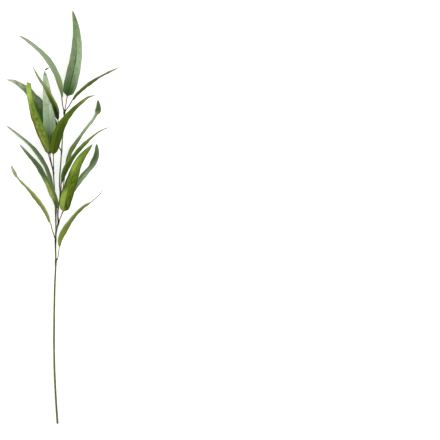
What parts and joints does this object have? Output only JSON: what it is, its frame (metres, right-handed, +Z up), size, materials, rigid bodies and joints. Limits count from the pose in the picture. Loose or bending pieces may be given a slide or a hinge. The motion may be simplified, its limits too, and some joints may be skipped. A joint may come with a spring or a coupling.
{
  "type": "olive branch",
  "caption": "Cut olive branch lying flat: a thin forked stem with long narrow leaves spread to both sides, some showing their pale undersides.",
  "frame": {"origin": "the middle of the branch's box in plan, on the surface that it lies on", "axes": "+Y from the cut end of the stem to the top leaf, +X to the right across the branch seen from above, +Z up"},
  "size_m": [0.2232, 0.8006, 0.0517],
  "materials": {
    "bark": "smooth green bark with brown joints",
    "leaf_upper_side": "mottled olive green, satin",
    "leaf_underside": "pale grey-green, matt"
  },
  "bodies": {
    "root": {"stem": "bark", "leaf_top_left": "leaf_underside", "leaf_top_upright": "leaf_underside", "leaf_top_right": "leaf_upper_side", "leaf_upper_left_narrow": "leaf_upper_side", "leaf_upper_pale_curled": "leaf_underside", "leaf_upper_left_back": "leaf_underside", "leaf_upper_left_front": "leaf_upper_side", "leaf_upper_right_front": "leaf_upper_side", "leaf_mid_right_twisted": "leaf_underside", "leaf_mid_right_narrow": "leaf_upper_side", "leaf_mid_right_front": "leaf_upper_side", "leaf_mid_right_back": "leaf_underside", "leaf_mid_left_back": "leaf_underside", "leaf_mid_left_front": "leaf_upper_side", "leaf_low_left": "leaf_upper_side", "leaf_low_right": "leaf_upper_side"}
  },
  "joints": []
}
